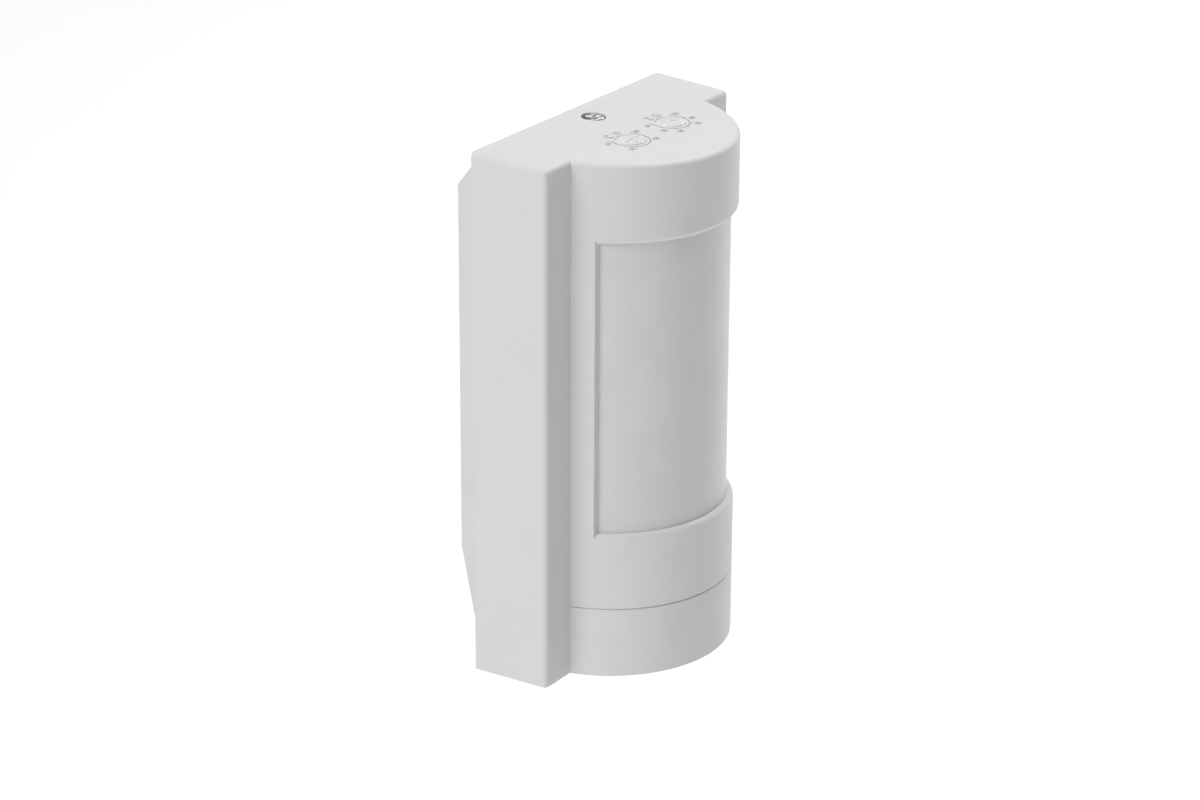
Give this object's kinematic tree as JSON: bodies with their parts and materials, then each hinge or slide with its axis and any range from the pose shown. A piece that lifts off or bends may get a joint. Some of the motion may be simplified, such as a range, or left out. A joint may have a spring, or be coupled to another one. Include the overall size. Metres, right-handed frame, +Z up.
{
  "type": "motion sensor",
  "caption": "Wall motion sensor with a half-round lens nose, two dials and a locking screw on top, hinged to a shallow wall base with terminals inside.",
  "frame": {"origin": "middle of the flat face that meets the wall", "axes": "+Z up, +Y into the wall, so the lens faces -Y and +X is to the right seen from the front"},
  "size_m": [0.078, 0.0463, 0.1297],
  "materials": {
    "white_shell": "fine moulded texture, off white",
    "base_plastic": "moulded, off white",
    "lens_sheet": "milky translucent polyethylene with faint facets",
    "inner_plastic": "moulded, light grey",
    "dark_plastic": "moulded, near black",
    "seal_rubber": "soft, matt",
    "zinc_steel": "zinc plated",
    "screw_steel": "nickel plated, worn in the recess",
    "board": "green solder mask over tracks",
    "can_metal": "nickel plated can",
    "filter_glass": "dark coated infrared filter",
    "relay_blue": "moulded blue case",
    "film_yellow": "moulded yellow case",
    "sleeve_black": "shrink sleeve with an aluminium top",
    "epoxy_blue": "dipped epoxy",
    "ferrite": "ferrite drum",
    "chip_black": "moulded epoxy with tinned legs",
    "ceramic": "ceramic body with tinned ends",
    "cell_red": "clear coated photocell",
    "led_red": "tinted clear epoxy",
    "pot_blue": "moulded trimmer body",
    "dial_plastic": "natural white, slightly translucent",
    "contact_brass": "tinned brass",
    "mark_grey": "scale marks and numerals, flush with the moulding",
    "block_grey": "moulded light grey"
  },
  "bodies": {
    "base": {"back_plate": "base_plastic", "terminal_block": "block_grey", "terminal_bars": "contact_brass", "cable_grommet": "seal_rubber"},
    "front_unit": {"front_cover": "white_shell", "lower_cap": "white_shell", "lens": "lens_sheet", "lens_frame": "dark_plastic", "rear_cover": "inner_plastic", "unit_seal": "seal_rubber", "unit_screws": "zinc_steel", "main_pcb": "board", "pcb_screws": "zinc_steel", "pyro_can": "can_metal", "pyro_window": "filter_glass", "pyro_shroud": "dark_plastic", "relay": "relay_blue", "film_capacitor": "film_yellow", "smoothing_capacitor": "sleeve_black", "fuse": "dark_plastic", "choke": "ferrite", "varistor": "epoxy_blue", "controller_chip": "chip_black", "amplifier_chip": "chip_black", "resistors": "ceramic", "light_sensor": "cell_red", "walk_test_led": "led_red", "lux_pot": "pot_blue", "time_pot": "pot_blue", "dial_seals": "seal_rubber", "blade_contacts": "contact_brass"},
    "lux_dial": {"lux_dial": "dial_plastic"},
    "time_dial": {"time_dial": "dial_plastic"},
    "lock_screw": {"lock_screw": "screw_steel"},
    "clamp_nut": {"clamp_nut": "zinc_steel"},
    "terminal_screw_1": {"terminal_screw_1": "zinc_steel"},
    "terminal_cage_1": {"terminal_cage_1": "zinc_steel"},
    "terminal_screw_2": {"terminal_screw_2": "zinc_steel"},
    "terminal_cage_2": {"terminal_cage_2": "zinc_steel"},
    "terminal_screw_3": {"terminal_screw_3": "zinc_steel"},
    "terminal_cage_3": {"terminal_cage_3": "zinc_steel"}
  },
  "joints": [
    {"name": "cover_swing", "type": "hinge", "parent": "base", "child": "front_unit", "pos_m": [0, -0.0085, -0.0693], "axis": [1, 0, 0], "range_deg": [0, 40]},
    {"name": "lux_turn", "type": "hinge", "parent": "front_unit", "child": "lux_dial", "pos_m": [-0.0076, -0.0265, 0.0497], "axis": [0, 0, 1], "range_deg": [-122.5, 122.5]},
    {"name": "time_turn", "type": "hinge", "parent": "front_unit", "child": "time_dial", "pos_m": [0.0092, -0.0265, 0.0497], "axis": [0, 0, 1], "range_deg": [-122.5, 122.5]},
    {"name": "lock_screw_turn", "type": "hinge", "parent": "front_unit", "child": "lock_screw", "pos_m": [0.0004, -0.0108, 0.0497], "axis": [0, 0, 1], "range_deg": [0, 1081]},
    {"name": "clamp_nut_drop", "type": "slide", "parent": "front_unit", "child": "clamp_nut", "axis": [0, 0, -1], "range_m": [0, 0.0015]},
    {"name": "terminal_1_turn", "type": "hinge", "parent": "base", "child": "terminal_screw_1", "pos_m": [-0.013, -0.011, -0.0013], "axis": [0, 1, 0], "range_deg": [0, 865]},
    {"name": "terminal_1_clamp", "type": "slide", "parent": "base", "child": "terminal_cage_1", "axis": [0, -1, 0], "range_m": [0, 0.0012]},
    {"name": "terminal_2_turn", "type": "hinge", "parent": "base", "child": "terminal_screw_2", "pos_m": [0, -0.011, -0.0013], "axis": [0, 1, 0], "range_deg": [0, 865]},
    {"name": "terminal_2_clamp", "type": "slide", "parent": "base", "child": "terminal_cage_2", "axis": [0, -1, 0], "range_m": [0, 0.0012]},
    {"name": "terminal_3_turn", "type": "hinge", "parent": "base", "child": "terminal_screw_3", "pos_m": [0.013, -0.011, -0.0013], "axis": [0, 1, 0], "range_deg": [0, 865]},
    {"name": "terminal_3_clamp", "type": "slide", "parent": "base", "child": "terminal_cage_3", "axis": [0, -1, 0], "range_m": [0, 0.0012]}
  ],
  "couplings": [
    {"joint": "lock_screw_turn", "follows": "clamp_nut_drop", "rad_per_m": 12566},
    {"joint": "terminal_1_turn", "follows": "terminal_1_clamp", "rad_per_m": 12566},
    {"joint": "terminal_2_turn", "follows": "terminal_2_clamp", "rad_per_m": 12566},
    {"joint": "terminal_3_turn", "follows": "terminal_3_clamp", "rad_per_m": 12566}
  ]
}
